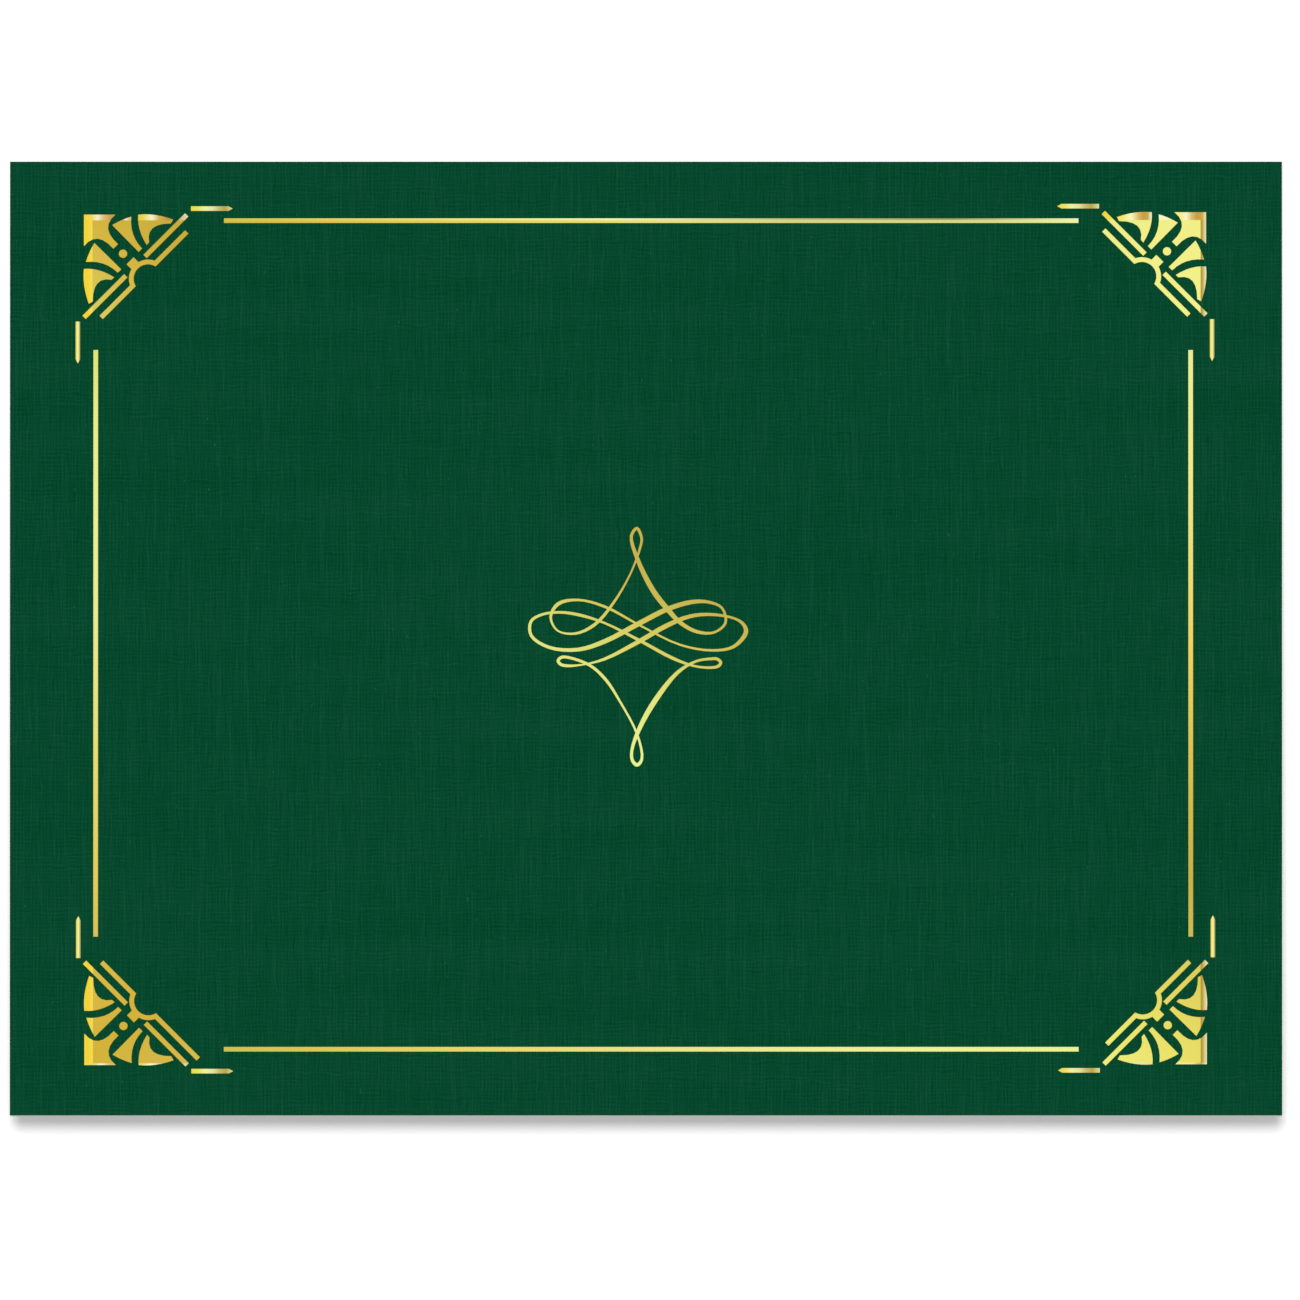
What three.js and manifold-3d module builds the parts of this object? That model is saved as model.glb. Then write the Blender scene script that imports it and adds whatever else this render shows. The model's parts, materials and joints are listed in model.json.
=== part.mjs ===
// Landscape diploma cover: one sheet of linen card folded along its top edge, with gold foil
// stamped on the front leaf: a ruled border, a fan ornament in each corner and a pen flourish.
// Units are millimetres. +X runs right along the fold, +Y points to the fold and +Z is up.
// The origin is the middle of the back leaf's underside, which lies on the table.

import * as THREE from 'three';
import { mergeVertices } from 'three/addons/utils/BufferGeometryUtils.js';
import Module from 'manifold-3d';

// Landscape letter sheet that the cover is made for, and the card left round it
const DIPLOMA_WIDTH = 279.4;
const DIPLOMA_DEPTH = 215.9;
const SIDE_MARGIN = 19.05;
const END_MARGIN = 11.1;

// Sheet
const COVER_WIDTH = DIPLOMA_WIDTH + 2 * SIDE_MARGIN; // 12 1/2 in, along the fold
const LEAF_DEPTH = DIPLOMA_DEPTH + 2 * END_MARGIN; // 9 3/8 in, from the fold to the free edge
const CARD_THICKNESS = 0.35;
const CREASE_GAP = 0.3; // clear height between the leaves at the crease
const CREASE_RELIEF = 0.15; // each leaf stops this far short of the fold line
const CREASE_ROUND = 0.22; // outside radius of the pressed crease on each leaf
const CREASE_ROUND_STEPS = 4;
const FREE_EDGE_LIFT = 5.4; // how far the crease's spring holds the front leaf's free edge up

// Slits of the back leaf, which hold the diploma's corners
const SLIT_SETBACK = 30; // from the diploma's corner to where the slit crosses each edge
const SLIT_OVERRUN = 3.5; // how far the slit runs on past the diploma's edges
const SLIT_WIDTH = 0.9;
const SLIT_END_STEPS = 6;

// Foil film
const FOIL_THICKNESS = 0.05;
const FOIL_SEAT = 0.01; // film of glue between the card and the foil

// Border rules: the middle of each line, measured in from the front leaf's edges
const RULE_WIDTH = 1.15;
const RULE_INSET_TOP = 14.75;
const RULE_INSET_BOTTOM = 16.5;
const RULE_INSET_LEFT = 21.4;
const RULE_INSET_RIGHT = 22.8;
const RULE_GAP_TOP = 32.3; // from the crossing of two rules' lines to where the foil starts
const RULE_GAP_BOTTOM = 28.1;
const RULE_GAP_LEFT = 32;
const RULE_GAP_RIGHT = 28;

// Fan ornaments: the place of each fan's dot, measured in from the leaf's edges, and how far
// its bracket's arm reaches sideways along the leaf
const FANS = {
  top_left: { side: 28.2, end: 23.0, armAcross: 15.1 },
  top_right: { side: 28.7, end: 22.4, armAcross: 14.9 },
  bottom_left: { side: 28.35, end: 22.3, armAcross: 19.0 },
  bottom_right: { side: 28.55, end: 22.5, armAcross: 14.1 },
};
const FAN_REACH = 9.76; // from the dot out to the fan's straight outer sides
const FAN_DOT_RADIUS = 1.03;
const FAN_LINE_WIDTH = 1.17; // bars and bracket
const BAR_OFFSET = 4.38; // bars lie this far from the dot, across the fan's diagonal
const BAR_START = 3.4; // along the bar's own line, from the diagonal
const BAR_END = 18.1;
const BRACKET_OFFSET = 7.4; // arms of the bracket, measured as the bars are
const BRACKET_ARM_DOWN = 15.1;
const BRACKET_ARC_OFFSET = 8.84; // centre of the bracket's arc
const BRACKET_ARC_RADIUS = 4.2;
const BRACKET_STUD_WIDTH = 2.47; // square stud on the arc's back
const BRACKET_STUD_OFFSET = 2.5; // from the dot to the stud's outer side
const DASH_OFFSET = 11.27; // dashes lie this far outside the dot
const DASH_START = 16.95;
const DASH_LENGTH = 10.45;
const DASH_WIDTH = 1.15;
const DASH_TIP = 1.1; // length of the pointed end
const CURVE_STEPS = 6;
const DOT_STEPS = 20;

// Flourish: one endless pen stroke. Its centre lies off the leaf's middle by these amounts
const FLOURISH_X = -1.95;
const FLOURISH_Y = -2.1;
const STROKE_STEPS = 4; // spline steps from one point of the stroke to the next
const STRETCH_POINTS = 3; // points in each stretch, few enough that no stretch crosses itself

// Points along the stroke from the flourish's centre: right, up, width of the line
const STROKE = [
  [-0.3, 29.6, 0.75],
  [-1.7, 27.7, 0.75],
  [-0.3, 22.2, 1.0],
  [3.7, 14.05, 1.3],
  [7.5, 9.2, 1.25],
  [10.55, 6.0, 1.0],
  [14.7, 3.75, 0.85],
  [19.0, 3.6, 0.6],
  [21.8, 6.0, 0.65],
  [20.9, 9.7, 0.6],
  [17.6, 11.15, 0.75],
  [13.5, 11.2, 1.05],
  [7.4, 9.45, 1.2],
  [0.45, 5.95, 1.25],
  [-8.25, 1.4, 1.15],
  [-15.0, -0.7, 0.95],
  [-22.2, -0.15, 0.8],
  [-26.7, 2.8, 0.75],
  [-26.75, 6.35, 0.75],
  [-24.0, 8.05, 0.65],
  [-19.5, 8.6, 0.65],
  [-14.5, 7.9, 0.75],
  [-8.3, 5.9, 0.55],
  [0.5, 1.5, 0.75],
  [8.5, -2.8, 0.8],
  [14.0, -4.8, 0.55],
  [18.2, -5.2, 0.65],
  [20.05, -4.8, 0.75],
  [20.6, -3.9, 0.75],
  [19.7, -3.05, 0.75],
  [18.2, -3.0, 0.7],
  [14.5, -3.6, 0.6],
  [9.85, -6.4, 0.9],
  [4.3, -13.3, 1.3],
  [0.5, -20.0, 1.1],
  [-1.55, -25.7, 0.75],
  [-1.45, -28.35, 0.8],
  [-0.3, -29.5, 0.9],
  [0.9, -28.1, 0.7],
  [-0.2, -22.0, 0.55],
  [-4.7, -13.4, 0.55],
  [-8.15, -8.15, 0.75],
  [-12.1, -4.6, 0.7],
  [-17.5, -2.65, 0.7],
  [-19.2, -2.65, 0.75],
  [-20.0, -3.5, 0.75],
  [-19.3, -4.4, 0.75],
  [-17.6, -4.75, 0.7],
  [-13.5, -4.4, 0.4],
  [-8.5, -3.1, 0.7],
  [0.5, 1.5, 1.1],
  [6.85, 5.15, 1.15],
  [12.9, 7.6, 0.95],
  [18.5, 8.05, 0.75],
  [24.2, 7.0, 0.6],
  [26.3, 5.55, 0.85],
  [26.9, 3.6, 1.1],
  [23.85, 0.05, 0.8],
  [18.5, -0.9, 0.6],
  [10.45, 0.5, 0.5],
  [0.5, 5.3, 0.5],
  [-8.3, 10.0, 0.65],
  [-15.0, 11.7, 0.6],
  [-20.0, 10.7, 0.9],
  [-21.85, 7.4, 0.65],
  [-20.15, 4.05, 0.45],
  [-15.7, 3.3, 0.6],
  [-10.9, 5.5, 0.8],
  [-6.5, 10.5, 0.65],
  [-2.0, 18.1, 0.45],
  [0.5, 24.8, 0.6],
  [0.85, 27.1, 0.65],
];

// Sizes that follow from the ones above
const HALF_WIDTH = COVER_WIDTH / 2;
const HALF_DEPTH = LEAF_DEPTH / 2;
const HINGE_HEIGHT = CARD_THICKNESS + CREASE_GAP / 2;
const GAPE = Math.asin(FREE_EDGE_LIFT / LEAF_DEPTH);

const wasm = await Module();
wasm.setup();

const cardMaterial = new THREE.MeshStandardMaterial({ color: 0x08472d, roughness: 0.85, metalness: 0 });
const foilMaterial = new THREE.MeshStandardMaterial({ color: 0xdcc25a, roughness: 0.3, metalness: 1 });

function toSolid(geometry) {
  const bare = geometry.clone();
  bare.deleteAttribute('normal');
  bare.deleteAttribute('uv');
  const merged = mergeVertices(bare);
  const vertProperties = new Float32Array(merged.attributes.position.array);
  const triVerts = new Uint32Array(merged.index.array);
  return new wasm.Manifold(new wasm.Mesh({ numProp: 3, vertProperties, triVerts }));
}

function toGeometry(solid) {
  const mesh = solid.getMesh();
  const geometry = new THREE.BufferGeometry();
  geometry.setAttribute('position', new THREE.BufferAttribute(mesh.vertProperties, 3));
  geometry.setIndex(new THREE.BufferAttribute(mesh.triVerts, 1));
  geometry.computeVertexNormals();
  return geometry;
}

function extrude(points, depth) {
  return new THREE.ExtrudeGeometry(new THREE.Shape(points), { depth, bevelEnabled: false });
}

function addMesh(group, name, geometry, material) {
  const mesh = new THREE.Mesh(geometry, material.clone());
  mesh.name = name;
  group.add(mesh);
  return mesh;
}

// Leaves. A leaf's section is drawn in Y and Z with its inner face at z = 0 and the fold line
// at y = 0, and its outer corner at the crease is rounded over.
function leafSection() {
  const edge = -CREASE_RELIEF;
  const section = new THREE.Path();
  section.moveTo(-LEAF_DEPTH, 0);
  section.lineTo(edge, 0);
  section.lineTo(edge, CARD_THICKNESS - CREASE_ROUND);
  section.absarc(edge - CREASE_ROUND, CARD_THICKNESS - CREASE_ROUND, CREASE_ROUND, 0, Math.PI / 2);
  section.lineTo(-LEAF_DEPTH, CARD_THICKNESS);
  return section.getPoints(CREASE_ROUND_STEPS);
}

function leafSolid() {
  const geometry = extrude(leafSection(), COVER_WIDTH);
  const alongX = new THREE.Vector3(1, 0, 0);
  const alongY = new THREE.Vector3(0, 1, 0);
  const alongZ = new THREE.Vector3(0, 0, 1);
  geometry.applyMatrix4(new THREE.Matrix4().makeBasis(alongY, alongZ, alongX));
  geometry.translate(-HALF_WIDTH, 0, 0);
  return geometry;
}

// A slit is a long slot with round ends, cut on the 45 degree line that crosses both edges of
// the diploma at the same setback from its corner.
function slitOutline(signX, signY) {
  const edgeX = DIPLOMA_WIDTH / 2;
  const edgeY = DIPLOMA_DEPTH / 2;
  const middleX = signX * (edgeX - SLIT_SETBACK / 2);
  const middleY = signY * (edgeY - SLIT_SETBACK / 2);
  const halfLength = SLIT_SETBACK / Math.SQRT2 + SLIT_OVERRUN;
  const direction = Math.atan2(-signY, signX);
  const slot = new THREE.Path();
  slot.absarc(halfLength, 0, SLIT_WIDTH / 2, -Math.PI / 2, Math.PI / 2);
  slot.absarc(-halfLength, 0, SLIT_WIDTH / 2, Math.PI / 2, (3 * Math.PI) / 2);
  const points = slot.getPoints(SLIT_END_STEPS);
  return points.map((point) => {
    point.rotateAround(new THREE.Vector2(0, 0), direction);
    return point.add(new THREE.Vector2(middleX, middleY));
  });
}

function backLeafGeometry() {
  let solid = toSolid(leafSolid());
  for (const signX of [-1, 1]) {
    for (const signY of [-1, 1]) {
      const cutter = extrude(slitOutline(signX, signY), CARD_THICKNESS * 3);
      cutter.translate(0, -HALF_DEPTH, -CARD_THICKNESS);
      solid = solid.subtract(toSolid(cutter));
    }
  }
  return toGeometry(solid);
}

// Foil figures are drawn flat, in millimetres from the front leaf's middle.
function rectangle(x0, y0, x1, y1) {
  return [
    new THREE.Vector2(x0, y0),
    new THREE.Vector2(x1, y0),
    new THREE.Vector2(x1, y1),
    new THREE.Vector2(x0, y1),
  ];
}

function addRules(foil) {
  const top = HALF_DEPTH - RULE_INSET_TOP;
  const bottom = -HALF_DEPTH + RULE_INSET_BOTTOM;
  const left = -HALF_WIDTH + RULE_INSET_LEFT;
  const right = HALF_WIDTH - RULE_INSET_RIGHT;
  const half = RULE_WIDTH / 2;
  const acrossFrom = left + RULE_GAP_LEFT;
  const acrossTo = right - RULE_GAP_RIGHT;
  const downFrom = top - RULE_GAP_TOP;
  const downTo = bottom + RULE_GAP_BOTTOM;
  const rules = {
    rule_top: rectangle(acrossFrom, top - half, acrossTo, top + half),
    rule_bottom: rectangle(acrossFrom, bottom - half, acrossTo, bottom + half),
    rule_left: rectangle(left - half, downTo, left + half, downFrom),
    rule_right: rectangle(right - half, downTo, right + half, downFrom),
  };
  for (const [name, points] of Object.entries(rules)) {
    addMesh(foil, name, extrude(points, FOIL_THICKNESS), foilMaterial);
  }
}

// A fan is drawn from its dot: u runs across and v runs down, both towards the leaf's middle,
// and every figure has a twin on the other side of the diagonal u = v.
function tileOutline() {
  const tile = new THREE.Path();
  tile.moveTo(-FAN_REACH, -FAN_REACH);
  tile.lineTo(-1.9, -FAN_REACH);
  tile.quadraticCurveTo(-5.9, -6.5, -1.25, -2.4);
  tile.lineTo(-2.4, -1.25);
  tile.quadraticCurveTo(-6.5, -5.9, -FAN_REACH, -1.9);
  return tile.getPoints(CURVE_STEPS);
}

function petalOutline() {
  const petal = new THREE.Path();
  petal.moveTo(-2.7, -7.15);
  petal.quadraticCurveTo(-0.45, -8.5, 2.05, -9.25);
  petal.quadraticCurveTo(1.6, -4.5, 4.75, -1.3);
  petal.lineTo(3.9, -0.45);
  return petal.getPoints(CURVE_STEPS);
}

function plumeOutline() {
  const plume = new THREE.Path();
  plume.moveTo(3.8, -FAN_REACH);
  plume.quadraticCurveTo(7.9, -10.2, 12.5, -8.55);
  plume.lineTo(11.95, -7.55);
  plume.quadraticCurveTo(5.6, -7.6, 6.5, -2.85);
  plume.lineTo(5.9, -2.2);
  plume.quadraticCurveTo(3.45, -6.1, 3.8, -FAN_REACH);
  return plume.getPoints(CURVE_STEPS);
}

function dotOutline() {
  const dot = new THREE.Path();
  dot.absarc(0, 0, FAN_DOT_RADIUS, 0, Math.PI * 2);
  return dot.getPoints(DOT_STEPS);
}

// Bars and bracket are drawn along the diagonal's normal s and the diagonal q, then turned.
function fromDiagonal(points) {
  return points.map((point) => {
    const u = (point.y + point.x) / Math.SQRT2;
    const v = (point.y - point.x) / Math.SQRT2;
    return new THREE.Vector2(u, v);
  });
}

function barOutline() {
  const half = FAN_LINE_WIDTH / 2;
  return fromDiagonal(rectangle(BAR_START, BAR_OFFSET - half, BAR_END, BAR_OFFSET + half));
}

// Angle on a circle round the bracket's arc centre at which it reaches a line of constant q
function kneeAngle(radius, q) {
  return Math.asin((BRACKET_ARC_OFFSET - q) / radius);
}

function bracketOutline(armAcross) {
  const half = FAN_LINE_WIDTH / 2;
  const outer = BRACKET_ARC_RADIUS + half;
  const inner = BRACKET_ARC_RADIUS - half;
  const near = BRACKET_OFFSET - half;
  const far = BRACKET_OFFSET + half;
  const outerKnee = kneeAngle(outer, near);
  const innerKnee = kneeAngle(inner, far);
  const stud = BRACKET_STUD_WIDTH / 2;
  const studAngle = Math.acos(stud / outer);
  const centre = BRACKET_ARC_OFFSET;
  const bracket = new THREE.Path();
  bracket.moveTo(-BRACKET_ARM_DOWN, far);
  bracket.lineTo(-BRACKET_ARM_DOWN, near);
  bracket.absarc(0, centre, outer, Math.PI + outerKnee, Math.PI + studAngle);
  bracket.lineTo(-stud, BRACKET_STUD_OFFSET);
  bracket.lineTo(stud, BRACKET_STUD_OFFSET);
  bracket.absarc(0, centre, outer, -studAngle, -outerKnee);
  bracket.lineTo(armAcross, near);
  bracket.lineTo(armAcross, far);
  bracket.absarc(0, centre, inner, -innerKnee, -Math.PI + innerKnee, true);
  return fromDiagonal(bracket.getPoints(CURVE_STEPS));
}

function dashOutline() {
  const start = DASH_START;
  const end = DASH_START + DASH_LENGTH;
  const half = DASH_WIDTH / 2;
  return [
    new THREE.Vector2(start, -DASH_OFFSET - half),
    new THREE.Vector2(end - DASH_TIP, -DASH_OFFSET - half),
    new THREE.Vector2(end, -DASH_OFFSET),
    new THREE.Vector2(end - DASH_TIP, -DASH_OFFSET + half),
    new THREE.Vector2(start, -DASH_OFFSET + half),
  ];
}

function twin(points) {
  return points.map((point) => new THREE.Vector2(point.y, point.x));
}

function addFan(foil, corner, fan) {
  const inwardX = corner.endsWith('left') ? 1 : -1;
  const inwardY = corner.startsWith('top') ? -1 : 1;
  const dotX = inwardX * (fan.side - HALF_WIDTH);
  const dotY = inwardY * (fan.end - HALF_DEPTH);
  const figures = {
    tile: tileOutline(),
    petal_across: petalOutline(),
    petal_down: twin(petalOutline()),
    plume_across: plumeOutline(),
    plume_down: twin(plumeOutline()),
    dot: dotOutline(),
    bar_across: barOutline(),
    bar_down: twin(barOutline()),
    bracket: bracketOutline(fan.armAcross),
    dash_across: dashOutline(),
    dash_down: twin(dashOutline()),
  };
  for (const [name, outline] of Object.entries(figures)) {
    const placed = outline.map((point) => {
      return new THREE.Vector2(dotX + inwardX * point.x, dotY + inwardY * point.y);
    });
    addMesh(foil, `${corner}_${name}`, extrude(placed, FOIL_THICKNESS), foilMaterial);
  }
}

// The stroke's spline carries the width of the line as its third coordinate, and the foil is
// the union of short ribbons along it.
function strokeSides() {
  const knots = STROKE.map(([x, y, width]) => new THREE.Vector3(x, y, width));
  const spline = new THREE.CatmullRomCurve3(knots, true, 'centripetal');
  const samples = spline.getPoints(STROKE.length * STROKE_STEPS).slice(0, -1);
  const count = samples.length;
  const sides = samples.map((sample, index) => {
    const before = samples[(index + count - 1) % count];
    const after = samples[(index + 1) % count];
    const along = new THREE.Vector2(after.x - before.x, after.y - before.y).normalize();
    const across = new THREE.Vector2(-along.y, along.x).multiplyScalar(sample.z / 2);
    const middle = new THREE.Vector2(sample.x + FLOURISH_X, sample.y + FLOURISH_Y);
    return { left: middle.clone().add(across), right: middle.clone().sub(across) };
  });
  return sides;
}

function flourishGeometry() {
  const sides = strokeSides();
  const stretch = STROKE_STEPS * STRETCH_POINTS;
  const ribbons = [];
  for (let start = 0; start < sides.length; start += stretch) {
    const lefts = [];
    const rights = [];
    for (let step = 0; step <= stretch + 1; step += 1) {
      const side = sides[(start + step) % sides.length];
      lefts.push(side.left);
      rights.unshift(side.right);
    }
    ribbons.push(toSolid(extrude([...lefts, ...rights], FOIL_THICKNESS)));
  }
  return toGeometry(wasm.Manifold.union(ribbons));
}

// Assembly
const cover = new THREE.Group();

const backLeaf = addMesh(cover, 'back_leaf', backLeafGeometry(), cardMaterial);
backLeaf.position.set(0, HALF_DEPTH, CARD_THICKNESS);
backLeaf.rotation.y = Math.PI;

const frontLeafGroup = new THREE.Group();
frontLeafGroup.position.set(0, HALF_DEPTH, HINGE_HEIGHT);
frontLeafGroup.rotation.x = -GAPE;
cover.add(frontLeafGroup);

const frontLeaf = addMesh(frontLeafGroup, 'front_leaf', leafSolid(), cardMaterial);
frontLeaf.position.z = CREASE_GAP / 2;

const foil = new THREE.Group();
foil.position.set(0, -HALF_DEPTH, CREASE_GAP / 2 + CARD_THICKNESS + FOIL_SEAT);
frontLeafGroup.add(foil);

addRules(foil);
for (const [corner, fan] of Object.entries(FANS)) {
  addFan(foil, corner, fan);
}
addMesh(foil, 'flourish', flourishGeometry(), foilMaterial);

export default cover;
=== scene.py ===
"""Looks of the diploma cover: a folded sheet of green linen card with gold foil on its front.

Metres, in the part's frame: +X right along the fold, +Y to the fold, +Z up out of the front leaf.
"""

import json
import math

import bpy
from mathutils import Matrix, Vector


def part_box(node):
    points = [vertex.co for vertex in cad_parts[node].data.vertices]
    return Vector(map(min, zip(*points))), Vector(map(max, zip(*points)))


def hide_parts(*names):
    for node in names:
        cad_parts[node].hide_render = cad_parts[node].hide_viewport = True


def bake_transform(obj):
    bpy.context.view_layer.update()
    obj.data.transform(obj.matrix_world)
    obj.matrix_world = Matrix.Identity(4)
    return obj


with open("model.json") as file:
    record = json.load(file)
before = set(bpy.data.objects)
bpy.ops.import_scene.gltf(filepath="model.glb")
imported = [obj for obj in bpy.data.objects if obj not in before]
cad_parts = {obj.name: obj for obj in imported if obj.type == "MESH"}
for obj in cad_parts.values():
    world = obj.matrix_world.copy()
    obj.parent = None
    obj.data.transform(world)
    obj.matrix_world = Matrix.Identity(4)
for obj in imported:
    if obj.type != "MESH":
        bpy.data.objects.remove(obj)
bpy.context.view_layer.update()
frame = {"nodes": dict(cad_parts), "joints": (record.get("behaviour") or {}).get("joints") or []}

MM = 0.001

# Sheet, from the frame
BACK_LOW, BACK_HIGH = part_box("back_leaf")
HALF_WIDTH = BACK_HIGH.x
FREE_EDGE_Y = BACK_LOW.y
CARD_THICKNESS = BACK_HIGH.z
FOLD = frame["joints"][0]
HINGE = Vector(FOLD["pos_m"])
GAPE = math.radians(180 - FOLD["range_deg"][1])
LEAF_DEPTH = HINGE.y - FREE_EDGE_Y
CREASE_HALF_GAP = HINGE.z - CARD_THICKNESS
CREASE_ROUND = 0.22 * MM
CREASE_STEPS = 8

# Slits of the back leaf, which take the corners of a landscape letter sheet
DIPLOMA_HALF_WIDTH = 139.7 * MM
DIPLOMA_HALF_DEPTH = 107.95 * MM
SLIT_SETBACK = 30 * MM
SLIT_OVERRUN = 3.5 * MM
SLIT_WIDTH = 0.9 * MM
SLIT_END_STEPS = 8

# Linen emboss of the card. A pitch is the distance from one thread, streak or band to the next,
# and a run is how far one goes before it changes.
WARP_PITCH = 0.86 * MM
WARP_RUN = 6 * MM
WARP_SEED = 0.0
WARP_SHARE = 0.56
WEFT_PITCH = 1.0 * MM
WEFT_RUN = 5 * MM
WEFT_SEED = 7.3
WEFT_SHARE = 0.44
THREAD_WANDER = 1.5
THREAD_PRESENCE = (0.35, 0.75)  # noise levels where a thread is flat and at full height
THREAD_PRESENCE_SEED = 5  # added to the thread's own seed
STREAK_PITCH = 0.36 * MM
STREAK_RUN = 16 * MM
STREAK_SEED = 2.6
STREAK_PRESENCE = (0.5, 0.75)
BAND_PITCH = 7 * MM
BAND_RUN = 90 * MM
BAND_SEED = 11.9
FIBRES_PER_METRE = 3200
FIBRE_DETAIL = 2.0

# Shares of the card's relief, and the span of it over which colour and roughness run
RELIEF_THREADS = 0.6
RELIEF_STREAKS = 0.18
RELIEF_BANDS = 0.13
RELIEF_FIBRES = 0.16
RELIEF_SPAN = (0.3, 0.7)

# Light flecks of the card
FLECK_WIDTH = 0.5 * MM
FLECK_LENGTH = 1.6 * MM
FLECK_SEED = 5.7
FLECK_PRESENCE = (0.775, 0.815)

# Card: its colour is darker in the emboss's hollows and lighter on its threads, painted shade and
# highlight over the card's own uneven tone
CARD_DARK_TONE_AND_HOLLOW_SHADE = "#004126"
CARD_LIGHT_TONE_AND_THREAD_HIGHLIGHT = "#0f4e34"
CARD_FLECK = "#1b5e44"
# Painted shade along the card's sides, free edges and the crease's middle: its width, and the
# share of the colour it keeps
PAINTED_RIM_WIDTH = 0.3 * MM
PAINTED_RIM_SHADE = 0.72
CARD_ROUGHNESS = (0.96, 0.82)  # in the hollows and on the threads
CARD_BUMP = (0.6, 0.08 * MM)  # strength and depth, as in the other bumps
CARD_SPECULAR = 0.03

# Cut edge of the card
EDGE_DARK = "#03311e"
EDGE_LIGHT = "#0c4c33"
EDGE_FIBRES_PER_METRE = 5200
EDGE_FIBRE_DETAIL = 3.0
EDGE_FIBRE_COARSENESS = 0.7
EDGE_FIBRE_SPAN = (0.3, 0.7)
EDGE_ROUGHNESS = 0.95
EDGE_BUMP = (0.5, 0.05 * MM)

# Foil
FOIL_ROUGHNESS = (0.28, 0.36)
FOIL_GRAIN = 0.6 * MM
FOIL_GRAIN_DETAIL = 2.0
FOIL_GRAIN_SPAN = (0.35, 0.65)
FOIL_BUMP = (0.1, 0.02 * MM)
CORNERS = ("top_left", "top_right", "bottom_left", "bottom_right")

# Camera: straight above, at the photograph's framing
CAMERA_HEIGHT = 12.0
FRAME_WIDTH = 324.55 * MM
FRAME_CENTRE_X = 1.0 * MM
FRAME_CENTRE_Y = -2.86 * MM
CAMERA_CLIP_END = 100.0
SENSOR_WIDTH = 36.0

# Light
KEY_FROM = Vector((-0.08, 0.60, 1.0))
KEY_STRENGTH = 2.7
KEY_ANGLE = 38
FILL_FROM = Vector((0.45, -1.0, 0.32))
FILL_STRENGTH = 0.55
FILL_ANGLE = 60
SKY_STRENGTH = 0.215
FLOOR_GREY = 0.9
FLOOR_GLOW = 0.3
FLOOR_DROP = 0.1 * MM
FLOOR_SIZE = 6.0

WHITE = (1, 1, 1, 1)
BLACK = (0, 0, 0, 1)


def linear(hex_colour):
    """An #rrggbb colour as the linear RGBA that shader sockets take, by the sRGB curve."""
    values = []
    for start in (1, 3, 5):
        level = int(hex_colour[start:start + 2], 16) / 255
        values.append(level / 12.92 if level <= 0.04045 else ((level + 0.055) / 1.055) ** 2.4)
    return (*values, 1.0)


# Node helpers
def new_material(name):
    material = bpy.data.materials.new(name)
    material.use_nodes = True
    return material, material.node_tree, material.node_tree.nodes["Principled BSDF"]


def add_node(tree, kind, **values):
    node = tree.nodes.new(kind)
    for key, value in values.items():
        setattr(node, key, value)
    return node


def feed(tree, source, socket):
    """Links an output to a socket, or sets the socket to a plain value."""
    if isinstance(source, bpy.types.NodeSocket):
        tree.links.new(source, socket)
    else:
        socket.default_value = source


def math_node(tree, operation, first, second=0.0):
    node = add_node(tree, "ShaderNodeMath", operation=operation)
    feed(tree, first, node.inputs[0])
    feed(tree, second, node.inputs[1])
    return node.outputs[0]


def weighted_sum(tree, *terms):
    """Sum of (value, weight) terms."""
    total = 0.0
    for value, weight in terms:
        node = add_node(tree, "ShaderNodeMath", operation="MULTIPLY_ADD")
        feed(tree, value, node.inputs[0])
        node.inputs[1].default_value = weight
        feed(tree, total, node.inputs[2])
        total = node.outputs[0]
    return total


def remap(tree, value, low, high, out_low=0.0, out_high=1.0):
    """out_low at low, out_high at high, held beyond them."""
    node = add_node(tree, "ShaderNodeMapRange", clamp=True)
    feed(tree, value, node.inputs["Value"])
    node.inputs["From Min"].default_value = low
    node.inputs["From Max"].default_value = high
    node.inputs["To Min"].default_value = out_low
    node.inputs["To Max"].default_value = out_high
    return node.outputs["Result"]


def ramp(tree, value, stops):
    """A colour ramp through (place, #rrggbb) stops, with places from 0 to 1."""
    node = add_node(tree, "ShaderNodeValToRGB")
    feed(tree, value, node.inputs["Fac"])
    elements = node.color_ramp.elements
    elements[0].position = stops[0][0]
    elements[0].color = linear(stops[0][1])
    elements[1].position = stops[-1][0]
    elements[1].color = linear(stops[-1][1])
    for place, colour in stops[1:-1]:
        element = elements.new(place)
        element.color = linear(colour)
    return node.outputs["Color"]


# Places of the Mix node's colour sockets, which share their names with its other sockets
MIX_FIRST, MIX_SECOND, MIX_RESULT = 6, 7, 2


def mix_colour(tree, factor, first, second):
    node = add_node(tree, "ShaderNodeMix", data_type="RGBA")
    feed(tree, factor, node.inputs["Factor"])
    feed(tree, first, node.inputs[MIX_FIRST])
    feed(tree, second, node.inputs[MIX_SECOND])
    return node.outputs[MIX_RESULT]


def combine(tree, x, y, z=0.0):
    node = add_node(tree, "ShaderNodeCombineXYZ")
    feed(tree, x, node.inputs[0])
    feed(tree, y, node.inputs[1])
    feed(tree, z, node.inputs[2])
    return node.outputs[0]


def add_bump(tree, shader, height, strength, depth):
    bump = add_node(tree, "ShaderNodeBump")
    bump.inputs["Strength"].default_value = strength
    bump.inputs["Distance"].default_value = depth
    feed(tree, height, bump.inputs["Height"])
    feed(tree, bump.outputs["Normal"], shader.inputs["Normal"])


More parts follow.
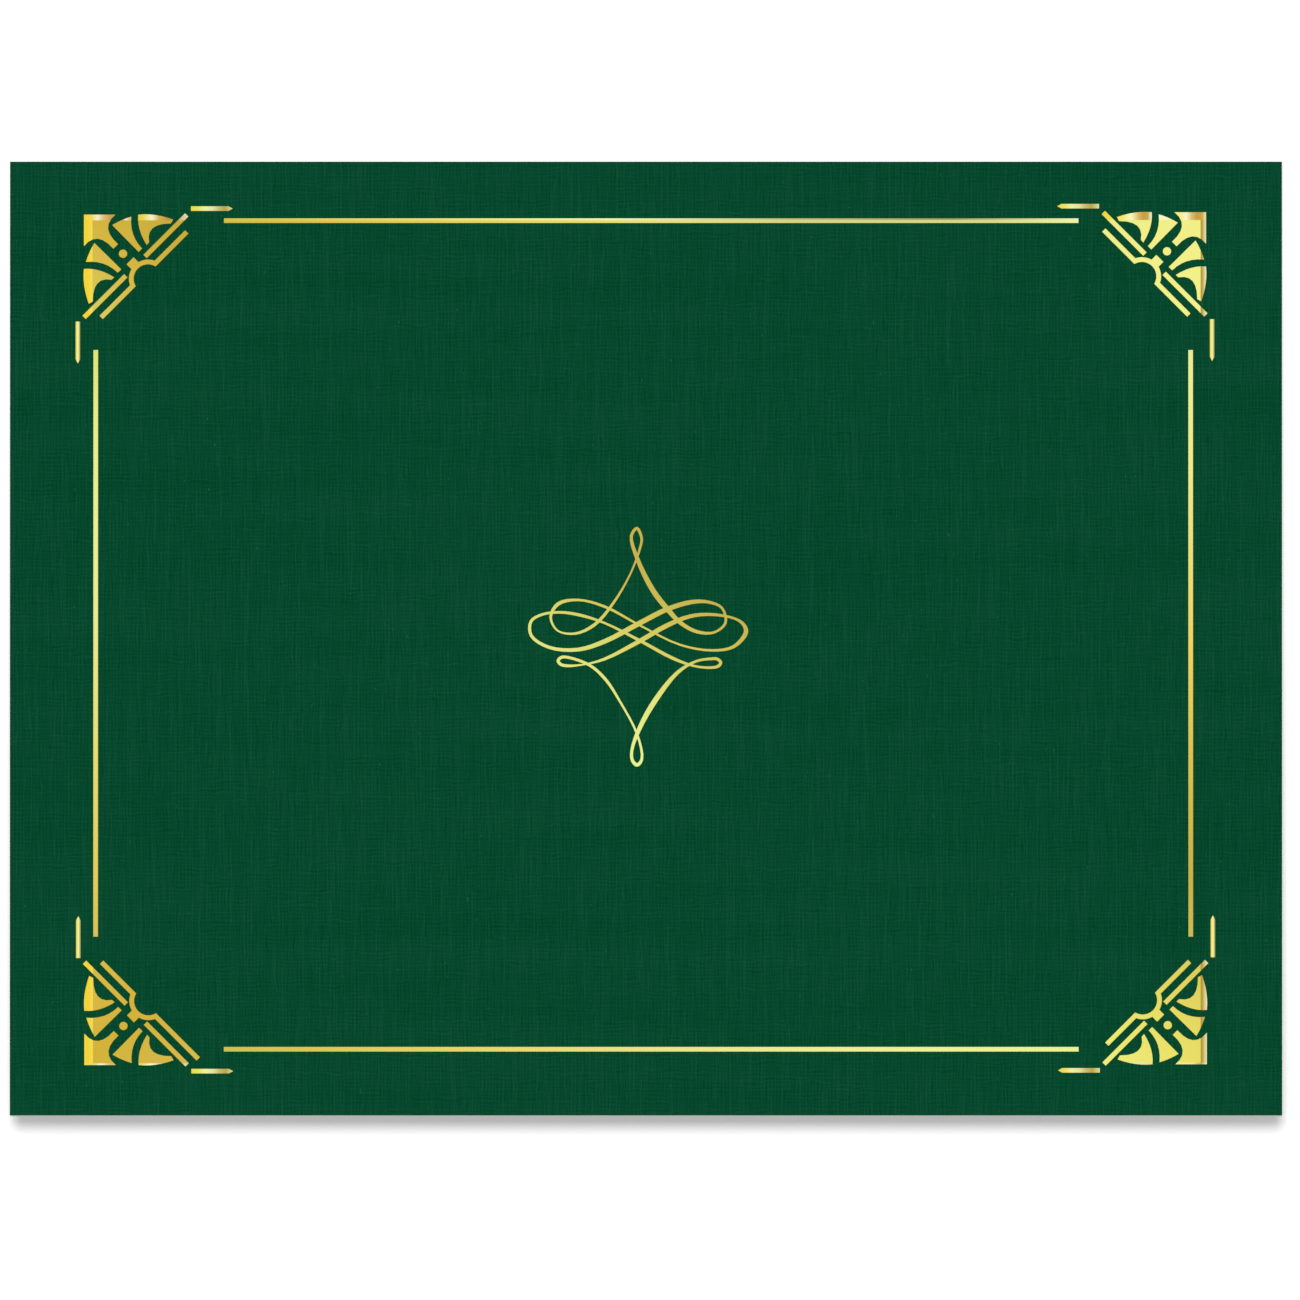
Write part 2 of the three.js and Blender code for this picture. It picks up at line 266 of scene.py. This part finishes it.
def noise(tree, vector, scale, detail=1.0, roughness=0.5):
    node = add_node(tree, "ShaderNodeTexNoise")
    feed(tree, vector, node.inputs["Vector"])
    node.inputs["Scale"].default_value = scale
    node.inputs["Detail"].default_value = detail
    node.inputs["Roughness"].default_value = roughness
    return node.outputs["Fac"]


def stretched_noise(tree, across, along, size_across, size_along, seed):
    """Noise whose cells have the given size in metres along each sheet coordinate."""
    cell_across = math_node(tree, "MULTIPLY", across, 1 / size_across)
    cell_along = math_node(tree, "MULTIPLY", along, 1 / size_along)
    return noise(tree, combine(tree, cell_across, cell_along, seed), 1.0)


def thread_rows(tree, across, along, pitch, run, seed):
    """Threads along the second coordinate, uneven in place and height, from 0 to 1."""
    drift = stretched_noise(tree, across, along, 2 * pitch, run, seed)
    wander = math_node(tree, "MULTIPLY", drift, THREAD_WANDER)
    turns = math_node(tree, "ADD", math_node(tree, "MULTIPLY", across, 1 / pitch), wander)
    wave = math_node(tree, "SINE", math_node(tree, "MULTIPLY", turns, 2 * math.pi))
    level = stretched_noise(tree, across, along, pitch, run, seed + THREAD_PRESENCE_SEED)
    height = math_node(tree, "MULTIPLY", remap(tree, level, *THREAD_PRESENCE), wave)
    return math_node(tree, "ADD", math_node(tree, "MULTIPLY", height, 0.5), 0.5)


def linen_threads(tree, across, along):
    """Height of the embossed warp and weft threads, from 0 to 1."""
    warp = thread_rows(tree, across, along, WARP_PITCH, WARP_RUN, WARP_SEED)
    weft = thread_rows(tree, along, across, WEFT_PITCH, WEFT_RUN, WEFT_SEED)
    return weighted_sum(tree, (warp, WARP_SHARE), (weft, WEFT_SHARE))


# Card
def card_material(painted_rim_lines):
    """Dyed card with embossed threads, small light flecks and a dark rim of painted shade.

    The painted shade runs along the sides and along the lines given as distances round the
    sheet's section.
    """
    material, tree, shader = new_material("linen_card")
    uv = add_node(tree, "ShaderNodeUVMap", uv_map="sheet")
    parts = add_node(tree, "ShaderNodeSeparateXYZ")
    feed(tree, uv.outputs["UV"], parts.inputs[0])
    across, along = parts.outputs[0], parts.outputs[1]
    threads = linen_threads(tree, across, along)
    level = stretched_noise(tree, across, along, STREAK_PITCH, STREAK_RUN, STREAK_SEED)
    streaks = remap(tree, level, *STREAK_PRESENCE)
    bands = stretched_noise(tree, across, along, BAND_RUN, BAND_PITCH, BAND_SEED)
    fibres = noise(tree, uv.outputs["UV"], FIBRES_PER_METRE, FIBRE_DETAIL)
    relief = weighted_sum(tree, (threads, RELIEF_THREADS), (streaks, RELIEF_STREAKS),
                          (bands, RELIEF_BANDS), (fibres, RELIEF_FIBRES))
    # Colour follows the relief: the card's own uneven tone, with painted shade in the hollows and
    # a painted highlight on the raised threads
    tone = remap(tree, relief, *RELIEF_SPAN)
    colour = ramp(tree, tone, [(0.0, CARD_DARK_TONE_AND_HOLLOW_SHADE), (1.0, CARD_LIGHT_TONE_AND_THREAD_HIGHLIGHT)])
    level = stretched_noise(tree, across, along, FLECK_WIDTH, FLECK_LENGTH, FLECK_SEED)
    flecks = remap(tree, level, *FLECK_PRESENCE)
    colour = mix_colour(tree, flecks, colour, linear(CARD_FLECK))
    # Painted shade: the colour darkens along the sides, the free edges and the middle of the
    # crease
    side = math_node(tree, "ABSOLUTE", across)
    painted_rim = remap(tree, side, HALF_WIDTH - PAINTED_RIM_WIDTH, HALF_WIDTH)
    for line in painted_rim_lines:
        distance = math_node(tree, "ABSOLUTE", math_node(tree, "SUBTRACT", along, line))
        painted_rim = math_node(tree, "MAXIMUM", painted_rim, remap(tree, distance, PAINTED_RIM_WIDTH, 0.0))
    shade = math_node(tree, "MULTIPLY", painted_rim, 1 - PAINTED_RIM_SHADE)
    lit = math_node(tree, "SUBTRACT", 1.0, shade)
    feed(tree, mix_colour(tree, lit, BLACK, colour), shader.inputs["Base Color"])
    feed(tree, remap(tree, relief, *RELIEF_SPAN, *CARD_ROUGHNESS), shader.inputs["Roughness"])
    add_bump(tree, shader, relief, *CARD_BUMP)
    shader.inputs["Specular IOR Level"].default_value = CARD_SPECULAR
    return material


def cut_edge_material():
    """Bare cut of the card: the same dye, with loose fibres instead of the emboss."""
    material, tree, shader = new_material("card_cut_edge")
    place = add_node(tree, "ShaderNodeTexCoord")
    fibres = noise(tree, place.outputs["Object"], EDGE_FIBRES_PER_METRE, EDGE_FIBRE_DETAIL,
                   EDGE_FIBRE_COARSENESS)
    tone = remap(tree, fibres, *EDGE_FIBRE_SPAN)
    colour = ramp(tree, tone, [(0.0, EDGE_DARK), (1.0, EDGE_LIGHT)])
    feed(tree, colour, shader.inputs["Base Color"])
    add_bump(tree, shader, fibres, *EDGE_BUMP)
    shader.inputs["Roughness"].default_value = EDGE_ROUGHNESS
    shader.inputs["Specular IOR Level"].default_value = CARD_SPECULAR
    return material


# Sheet
def half_profile():
    """Outer and inner line of the back half in (y, z) from the hinge.

    Each runs from the free edge to the crease. The outer line turns up a rounded corner into the
    crease's wall, and the inner one into a round pocket.
    """
    quarter = [math.pi / 2 * step / CREASE_STEPS for step in range(CREASE_STEPS + 1)]
    underside = Vector((0, -HINGE.z))
    outer = [Vector((-LEAF_DEPTH, 0)) + underside]
    for angle in quarter:
        corner = Vector((math.sin(angle) - 1, 1 - math.cos(angle))) * CREASE_ROUND
        outer.append(corner + underside)
    for step in range(CREASE_STEPS):
        outer.append(Vector((0, -CREASE_HALF_GAP * (1 - step / CREASE_STEPS))))
    pocket = -CARD_THICKNESS - CREASE_HALF_GAP
    inner = [Vector((-LEAF_DEPTH, -CREASE_HALF_GAP))]
    for angle in quarter:
        inner.append(Vector((pocket + math.sin(angle) * CREASE_HALF_GAP,
                             -math.cos(angle) * CREASE_HALF_GAP)))
    return outer, inner


def front_half(line):
    """The back half's line mirrored to the front leaf, opened by the gape and reversed."""
    cos, sin = math.cos(GAPE), math.sin(GAPE)
    turned = []
    for point in reversed(line):
        y, z = point.x, -point.y
        turned.append(Vector((y * cos + z * sin, z * cos - y * sin)))
    return turned


def sheet_profile():
    """The section's points in (y, z), each with whether a cut edge starts there."""
    outer, inner = half_profile()
    hinge = Vector((HINGE.y, HINGE.z))
    outside = outer + [Vector((0, 0))] + front_half(outer)
    inside = inner + front_half(inner)[1:]
    inside.reverse()
    rows = [(hinge + point, False) for point in outside + inside]
    for edge in (len(outside) - 1, len(rows) - 1):
        rows[edge] = (rows[edge][0], True)
    return rows


def section_travel(rows):
    """Distance round the section from its first point to each point and back to the first."""
    travel = [0.0]
    for index, (point, _) in enumerate(rows):
        following, _ = rows[(index + 1) % len(rows)]
        travel.append(travel[-1] + (following - point).length)
    return travel


def sheet_painted_rim_lines(rows, travel):
    """Where the painted shade runs round the section: at its free edges and, on the outer face,
    the middle of the crease.
    """
    front, back = [index for index, (_, cut) in enumerate(rows) if cut]
    return [travel[0], travel[front // 2], travel[front], travel[front + 1], travel[back]]


def prism_faces(count):
    """Faces of a prism whose two rings of count points follow each other."""
    faces = []
    for index in range(count):
        following = (index + 1) % count
        faces.append((index, following, count + following, count + index))
    faces.append(tuple(reversed(range(count))))
    faces.append(tuple(range(count, 2 * count)))
    return faces


def sheet_mesh(rows, travel):
    count = len(rows)
    vertices = []
    for x in (-HALF_WIDTH, HALF_WIDTH):
        vertices += [(x, point.x, point.y) for point, _ in rows]
    mesh = bpy.data.meshes.new("cover_sheet")
    mesh.from_pydata(vertices, [], prism_faces(count))
    uv = mesh.uv_layers.new(name="sheet")
    for face in mesh.polygons:
        side_face = face.index >= count
        face.material_index = 1 if side_face or rows[face.index][1] else 0
        for loop in face.loop_indices:
            vertex = mesh.loops[loop].vertex_index
            x, y, z = vertices[vertex]
            if side_face:
                uv.data[loop].uv = (z, y)
            else:
                at_end = vertex % count == (face.index + 1) % count
                along = travel[face.index + 1] if at_end else travel[face.index]
                uv.data[loop].uv = (x, along)
    mesh.update()
    return mesh


def slit_cutter(sign_x, sign_y):
    """A slot with round ends on the 45 degree line across one corner of the diploma."""
    half = SLIT_SETBACK / math.sqrt(2) + SLIT_OVERRUN
    middle = Vector((sign_x * (DIPLOMA_HALF_WIDTH - SLIT_SETBACK / 2),
                     sign_y * (DIPLOMA_HALF_DEPTH - SLIT_SETBACK / 2)))
    turn = math.atan2(-sign_y, sign_x)
    cos, sin = math.cos(turn), math.sin(turn)
    radius = SLIT_WIDTH / 2
    outline = []
    for end, first in ((half, -math.pi / 2), (-half, math.pi / 2)):
        for step in range(SLIT_END_STEPS + 1):
            angle = first + math.pi * step / SLIT_END_STEPS
            local = Vector((end + math.cos(angle) * radius, math.sin(angle) * radius))
            turned = Vector((local.x * cos - local.y * sin, local.x * sin + local.y * cos))
            outline.append(middle + turned)
    low = -CARD_THICKNESS
    high = CARD_THICKNESS + CREASE_HALF_GAP / 2
    vertices = [(point.x, point.y, z) for z in (low, high) for point in outline]
    return vertices, prism_faces(len(outline))


def cut_slits(sheet, material):
    """Cuts the four slits out of the sheet and keeps the result as its mesh."""
    vertices = []
    faces = []
    for sign_x in (-1, 1):
        for sign_y in (-1, 1):
            base = len(vertices)
            more_vertices, more_faces = slit_cutter(sign_x, sign_y)
            vertices += more_vertices
            faces += [tuple(base + index for index in face) for face in more_faces]
    mesh = bpy.data.meshes.new("slit_cutters")
    mesh.from_pydata(vertices, [], faces)
    mesh.materials.append(material)
    cutter = bpy.data.objects.new("slit_cutters", mesh)
    bpy.context.scene.collection.objects.link(cutter)
    modifier = sheet.modifiers.new("slits", "BOOLEAN")
    modifier.operation = "DIFFERENCE"
    modifier.solver = "EXACT"
    modifier.material_mode = "TRANSFER"
    modifier.object = cutter
    graph = bpy.context.evaluated_depsgraph_get()
    cut = bpy.data.meshes.new_from_object(sheet.evaluated_get(graph))
    sheet.modifiers.clear()
    sheet.data = cut
    bpy.data.objects.remove(cutter)


def make_sheet():
    """The whole folded sheet as one piece, with its front leaf standing open by the gape."""
    rows = sheet_profile()
    travel = section_travel(rows)
    card = card_material(sheet_painted_rim_lines(rows, travel))
    cut_edge = cut_edge_material()
    mesh = sheet_mesh(rows, travel)
    mesh.materials.append(card)
    mesh.materials.append(cut_edge)
    sheet = bpy.data.objects.new("cover_sheet", mesh)
    bpy.context.scene.collection.objects.link(sheet)
    cut_slits(sheet, cut_edge)
    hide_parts("back_leaf", "front_leaf")
    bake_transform(sheet)


# Foil. Every figure is metal whose colour runs by where it lies on the leaf: painted reflection,
# in place of the light the foil would mirror. Stops are (place from 0 to 1, colour).
def foil_shell(name):
    """A gold material with its place on the leaf in millimetres from the leaf's middle."""
    material, tree, shader = new_material(name)
    place = add_node(tree, "ShaderNodeTexCoord")
    parts = add_node(tree, "ShaderNodeSeparateXYZ")
    feed(tree, place.outputs["Object"], parts.inputs[0])
    x = math_node(tree, "MULTIPLY", parts.outputs[0], 1 / MM)
    y = math_node(tree, "MULTIPLY", parts.outputs[1], 1 / MM)
    add_bump(tree, shader, linen_threads(tree, parts.outputs[0], parts.outputs[1]), *FOIL_BUMP)
    grain = noise(tree, place.outputs["Object"], 1 / FOIL_GRAIN, FOIL_GRAIN_DETAIL)
    roughness = remap(tree, grain, *FOIL_GRAIN_SPAN, *FOIL_ROUGHNESS)
    feed(tree, roughness, shader.inputs["Roughness"])
    shader.inputs["Metallic"].default_value = 1.0
    return material, tree, shader, x, y


def box_mm(node):
    low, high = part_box(node)
    return low / MM, high / MM


def run_foil(name, node, axis, stops):
    """Foil whose painted reflection runs along X (axis 0) or Y (axis 1) of one figure."""
    material, tree, shader, x, y = foil_shell(name)
    low, high = box_mm(node)
    place = remap(tree, (x, y)[axis], low[axis], high[axis])
    feed(tree, ramp(tree, place, stops), shader.inputs["Base Color"])
    return material


# Painted reflection along the top rule
TOP_RULE_PAINTED_REFLECTION = (
    (0.0, "#d2be4c"), (0.1, "#dcc153"), (0.33, "#e8d66a"), (0.5, "#ebe080"), (0.66, "#d9d682"),
    (0.8, "#d8d888"), (0.9, "#dadb88"), (1.0, "#eef3a0"),
)
# Painted bevel highlight along the top rule's upper edge, and how far below that edge it ends, in
# mm
TOP_RULE_PAINTED_HIGHLIGHT = (
    (0.0, "#d8c458"), (0.25, "#eee68c"), (0.45, "#f6f8c4"), (0.66, "#c4c27c"), (0.85, "#a39e56"),
    (0.93, "#cdcc84"), (1.0, "#edf4bc"),
)
TOP_RULE_EDGE = (0.5, 0.3)


def top_rule_foil():
    material, tree, shader, x, y = foil_shell("foil_rule_top")
    low, high = box_mm("rule_top")
    place = remap(tree, x, low.x, high.x)
    body = ramp(tree, place, TOP_RULE_PAINTED_REFLECTION)
    # Painted bevel highlight along the rule's upper edge
    edge = ramp(tree, place, TOP_RULE_PAINTED_HIGHLIGHT)
    upper = remap(tree, y, *(high.y - inset for inset in TOP_RULE_EDGE))
    feed(tree, mix_colour(tree, upper, body, edge), shader.inputs["Base Color"])
    return material


# Painted reflection of the flourish, running along a slanted line: the line's direction, and its
# span in mm
FLOURISH_PAINTED_REFLECTION = (
    (0.0, "#e8f292"), (0.33, "#e3e580"), (0.54, "#dad76e"), (0.71, "#d5c85c"), (0.86, "#cabb56"),
    (1.0, "#c7b452"),
)
FLOURISH_SLANT = (0.45, 0.9)
FLOURISH_SPAN = (-27.0, 16.0)


def flourish_foil():
    material, tree, shader, x, y = foil_shell("foil_flourish")
    slant = weighted_sum(tree, (x, FLOURISH_SLANT[0]), (y, FLOURISH_SLANT[1]))
    place = remap(tree, slant, *FLOURISH_SPAN)
    feed(tree, ramp(tree, place, FLOURISH_PAINTED_REFLECTION), shader.inputs["Base Color"])
    return material


# Painted reflection inside each fan, from its end that reaches sideways to its end that reaches
# down or up
FAN_PAINTED_REFLECTION = {
    "top_left": ((0.0, "#c6aa38"), (0.5, "#d4b642"), (1.0, "#dcd062")),
    "top_right": ((0.0, "#ecef8c"), (0.5, "#f3ef88"), (1.0, "#f2f28c")),
    "bottom_left": ((0.0, "#d6bb4e"), (0.5, "#d3b33a"), (1.0, "#dcbd4c")),
    "bottom_right": ((0.0, "#efef7c"), (0.5, "#e9de66"), (1.0, "#d9c95a")),
}
# Painted bevel highlight along the fan's outer side, over its width in mm from that side
FAN_SIDE_WIDTH = {
    "top_left": 2.12, "top_right": 1.36, "bottom_left": 2.12, "bottom_right": 1.55,
}
FAN_SIDE_FADE = 0.1
FAN_SIDE_PAINTED_HIGHLIGHT = {
    "left": (
        (0.0, "#f0dc50"), (0.3, "#f3d233"), (0.55, "#f4d53c"), (0.8, "#f4d94e"), (1.0, "#f9e060"),
    ),
    "right": (
        (0.0, "#e6ecb4"), (0.3, "#dccd90"), (0.55, "#cbb468"), (0.8, "#b4993c"), (1.0, "#b2963a"),
    ),
}
# Painted bevel highlight along the fan's top or bottom, over this many mm from its outer side
FAN_END_RUN = 26.0
FAN_END_WIDTH = {
    "top_left": 1.42, "top_right": 1.95, "bottom_left": 0.45, "bottom_right": 0.45,
}
FAN_END_FADE = 0.12
FAN_END_PAINTED_HIGHLIGHT = {
    "top_left": (
        (0.0, "#f4d534"), (0.08, "#f2dc58"), (0.13, "#f9f0c8"), (0.18, "#e2c47e"),
        (0.25, "#c9a24e"), (0.37, "#c9a24e"), (0.4, "#f8f2c4"), (0.44, "#d8c478"),
        (0.49, "#e6c93c"), (0.57, "#f0d64e"), (0.65, "#faf2c8"), (0.72, "#d6ae5a"),
        (0.82, "#b8963a"), (0.93, "#cfc07c"), (1.0, "#e4e0b8"),
    ),
    "top_right": (
        (0.0, "#f0eab4"), (0.04, "#cfa546"), (0.09, "#c6a044"), (0.14, "#dcc070"),
        (0.19, "#faf6c4"), (0.25, "#f8ec80"), (0.33, "#f6f6c0"), (0.5, "#f8fac8"),
        (0.53, "#eeecb8"), (0.56, "#c8a850"), (0.6, "#c69e44"), (0.65, "#dcb868"),
        (0.72, "#fdf9bc"), (0.8, "#f2e86c"), (1.0, "#eed640"),
    ),
    "bottom_left": (
        (0.0, "#f2de50"), (0.1, "#e6dc80"), (0.16, "#fbf8d2"), (0.24, "#d8c478"),
        (0.45, "#d8c470"), (0.55, "#e6dc70"), (0.64, "#fffdd0"), (0.74, "#dcd090"),
        (1.0, "#dcdca0"),
    ),
    "bottom_right": (
        (0.0, "#f6f4cc"), (0.05, "#c4aa54"), (0.14, "#f0eaa0"), (0.25, "#f6f08c"),
        (0.5, "#ece07c"), (0.64, "#e8e6b4"), (0.8, "#f4f0a0"), (1.0, "#eeea84"),
    ),
}


def fan_foil(corner):
    """Foil of one fan: a slow painted reflection along its chord, and painted bevel highlights on
    its outer sides.
    """
    end, side = corner.split("_")
    material, tree, shader, x, y = foil_shell(f"foil_fan_{corner}")
    tile_low, tile_high = box_mm(f"{corner}_tile")
    across_low, across_high = box_mm(f"{corner}_bar_across")
    down_low, down_high = box_mm(f"{corner}_bar_down")
    if side == "left":
        inset_x = math_node(tree, "SUBTRACT", x, tile_low.x)
        reach = across_high.x - down_low.x
    else:
        inset_x = math_node(tree, "SUBTRACT", tile_high.x, x)
        reach = down_high.x - across_low.x
    if end == "top":
        inset_y = math_node(tree, "SUBTRACT", tile_high.y, y)
    else:
        inset_y = math_node(tree, "SUBTRACT", y, tile_low.y)
    chord = math_node(tree, "SUBTRACT", inset_y, inset_x)
    # Painted reflection along the fan's chord
    inner = ramp(tree, remap(tree, chord, -reach, reach), FAN_PAINTED_REFLECTION[corner])
    # Painted bevel highlights along the fan's outer side and along its top or bottom
    side_width = FAN_SIDE_WIDTH[corner]
    side_highlight = ramp(tree, remap(tree, inset_x, 0.0, side_width), FAN_SIDE_PAINTED_HIGHLIGHT[side])
    side_highlight_mask = remap(tree, inset_x, side_width + FAN_SIDE_FADE, side_width - FAN_SIDE_FADE)
    end_width = FAN_END_WIDTH[corner]
    end_highlight = ramp(tree, remap(tree, inset_x, 0.0, FAN_END_RUN), FAN_END_PAINTED_HIGHLIGHT[corner])
    end_highlight_mask = remap(tree, inset_y, end_width + FAN_END_FADE, end_width - FAN_END_FADE)
    colour = mix_colour(tree, side_highlight_mask, inner, side_highlight)
    colour = mix_colour(tree, end_highlight_mask, colour, end_highlight)
    feed(tree, colour, shader.inputs["Base Color"])
    return material


# Axis and painted reflection of each other rule, then the painted reflections of the dashes, which
# all go along X
RULE_PAINTED_REFLECTIONS = {
    "rule_bottom": (0, (
        (0.0, "#d2bf58"), (0.1, "#dcc65a"), (0.33, "#e9d972"), (0.5, "#e8e58a"),
        (0.66, "#ebed96"), (0.8, "#ecf299"), (1.0, "#e8f495"),
    )),
    "rule_left": (1, (
        (0.0, "#d4c45a"), (0.1, "#e2cc5e"), (0.33, "#e7de78"), (0.5, "#e8e990"),
        (0.66, "#e8ef98"), (0.85, "#e9ee90"), (1.0, "#dee67a"),
    )),
    "rule_right": (1, (
        (0.0, "#ccbc54"), (0.1, "#cab347"), (0.2, "#d0ba4a"), (0.33, "#dcc552"),
        (0.5, "#edd562"), (0.66, "#eae07c"), (0.8, "#edea8c"), (1.0, "#ecee95"),
    )),
}
DASH_ACROSS_PAINTED_REFLECTION = (
    (0.0, "#ecdc4e"), (0.15, "#ebe05a"), (0.34, "#eff2a0"), (0.52, "#e4e2a2"),
    (0.66, "#ccbe70"), (0.82, "#b8a64a"), (0.95, "#d2d28e"), (1.0, "#dbdfa0"),
)
DASH_DOWN_PAINTED_REFLECTION = (
    (0.0, "#c6c056"), (0.2, "#e8e274"), (0.4, "#f9f18a"), (0.6, "#f5f09a"), (0.8, "#c2bc7a"),
    (1.0, "#9c985c"),
)


def paint(node, material):
    """Gives a CAD node one material in place of its own."""
    mesh = frame["nodes"][node].data
    mesh.materials.clear()
    mesh.materials.append(material)


def paint_foil():
    paint("rule_top", top_rule_foil())
    for rule, (axis, stops) in RULE_PAINTED_REFLECTIONS.items():
        paint(rule, run_foil(f"foil_{rule}", rule, axis, stops))
    for corner in CORNERS:
        fan = fan_foil(corner)
        for node in frame["nodes"]:
            if node.startswith(corner) and "dash" not in node:
                paint(node, fan)
        across = f"{corner}_dash_across"
        down = f"{corner}_dash_down"
        paint(across, run_foil(f"foil_{across}", across, 0, DASH_ACROSS_PAINTED_REFLECTION))
        paint(down, run_foil(f"foil_{down}", down, 0, DASH_DOWN_PAINTED_REFLECTION))
    paint("flourish", flourish_foil())


# Stage
def seen_directly(tree):
    """1 for camera, glossy and transmission rays, 0 for the rays that light the object."""
    rays = add_node(tree, "ShaderNodeLightPath")
    seen = math_node(tree, "MAXIMUM", rays.outputs["Is Camera Ray"], rays.outputs["Is Glossy Ray"])
    return math_node(tree, "MAXIMUM", seen, rays.outputs["Is Transmission Ray"])


def make_floor():
    """Pale floor that reads as white and keeps the cover's shadow."""
    material, tree, shader = new_material("floor_white")
    shader.inputs["Base Color"].default_value = (FLOOR_GREY, FLOOR_GREY, FLOOR_GREY, 1)
    shader.inputs["Emission Color"].default_value = WHITE
    glow = math_node(tree, "MULTIPLY", seen_directly(tree), FLOOR_GLOW)
    feed(tree, glow, shader.inputs["Emission Strength"])
    shader.inputs["Roughness"].default_value = 1.0
    shader.inputs["Specular IOR Level"].default_value = 0.0
    half = FLOOR_SIZE / 2
    mesh = bpy.data.meshes.new("floor")
    corners = [(-half, -half, 0), (half, -half, 0), (half, half, 0), (-half, half, 0)]
    mesh.from_pydata(corners, [], [(0, 1, 2, 3)])
    mesh.materials.append(material)
    floor = bpy.data.objects.new("floor", mesh)
    bpy.context.scene.collection.objects.link(floor)
    floor.location.z = -FLOOR_DROP


def make_sky():
    """White to the camera and in reflections, and a soft fill for everything else."""
    world = bpy.data.worlds.new("sky")
    bpy.context.scene.world = world
    world.use_nodes = True
    tree = world.node_tree
    background = tree.nodes["Background"]
    background.inputs["Color"].default_value = WHITE
    extra = math_node(tree, "MULTIPLY", seen_directly(tree), 1 - SKY_STRENGTH)
    feed(tree, math_node(tree, "ADD", extra, SKY_STRENGTH), background.inputs["Strength"])


def make_soft_light(name, come_from, strength, angle):
    """Broad far light. The foil reflects the white room and not the lamp, so it stays gold."""
    light = bpy.data.lights.new(name, "SUN")
    light.energy = strength
    light.angle = math.radians(angle)
    lamp = bpy.data.objects.new(name, light)
    bpy.context.scene.collection.objects.link(lamp)
    lamp.rotation_euler = come_from.to_track_quat("Z", "Y").to_euler()
    lamp.location = come_from
    lamp.visible_glossy = False


def make_camera():
    data = bpy.data.cameras.new("camera")
    data.sensor_width = SENSOR_WIDTH
    data.lens = SENSOR_WIDTH * CAMERA_HEIGHT / FRAME_WIDTH
    data.clip_end = CAMERA_CLIP_END
    camera = bpy.data.objects.new("camera", data)
    bpy.context.scene.collection.objects.link(camera)
    camera.location = (FRAME_CENTRE_X, FRAME_CENTRE_Y, CAMERA_HEIGHT + HINGE.z)
    bpy.context.scene.camera = camera


make_camera()
make_sky()
make_soft_light("key_light", KEY_FROM, KEY_STRENGTH, KEY_ANGLE)
make_soft_light("fill_light", FILL_FROM, FILL_STRENGTH, FILL_ANGLE)
make_floor()
make_sheet()
paint_foil()
bpy.context.scene.view_settings.view_transform = "Standard"
